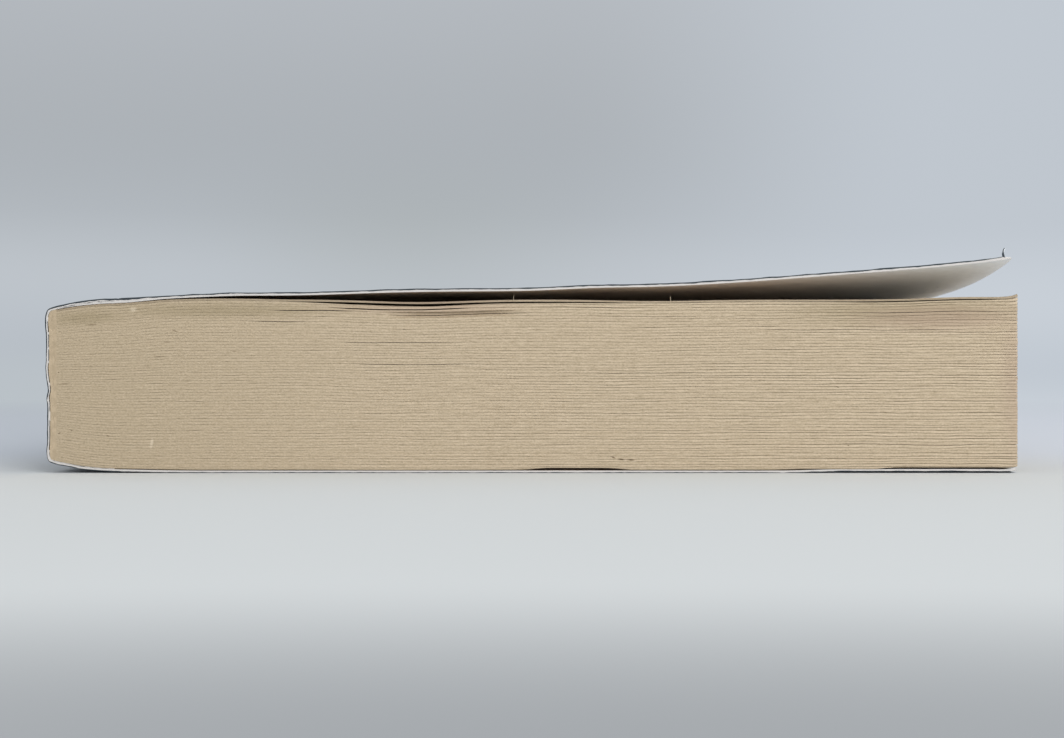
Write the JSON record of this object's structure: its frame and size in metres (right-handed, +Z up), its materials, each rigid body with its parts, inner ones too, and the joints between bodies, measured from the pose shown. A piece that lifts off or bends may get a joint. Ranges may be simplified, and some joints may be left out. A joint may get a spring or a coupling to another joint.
{
  "type": "paperback book",
  "caption": "Paperback book lying flat: a block of leaves glued into a folded card cover, with hinged covers and the front one warped up at its fore edge.",
  "frame": {"origin": "middle of the face that the book rests on, on the underside of the back cover", "axes": "+X from the spine to the fore edge, +Y from the tail of the pages to their head, +Z up through the front cover"},
  "size_m": [0.11, 0.178, 0.0253],
  "materials": {
    "pages": "uncoated groundwood paper, trimmed edges",
    "glue": "hot-melt adhesive, aged amber",
    "cover": "card, dark laminated outside, white uncoated inside"
  },
  "bodies": {
    "book_block": {"text_block": "pages", "spine_glue": "glue", "spine_cover": "cover"},
    "front": {"front_cover": "cover"},
    "back": {"back_cover": "cover"}
  },
  "joints": [
    {"name": "front_cover_hinge", "type": "hinge", "parent": "book_block", "child": "front", "pos_m": [-0.0473, 0, 0.01974], "axis": [0, -1, 0], "range_deg": [0, 170]},
    {"name": "back_cover_hinge", "type": "hinge", "parent": "book_block", "child": "back", "pos_m": [-0.0473, 0, 0], "axis": [0, 1, 0], "range_deg": [0, 170]}
  ]
}
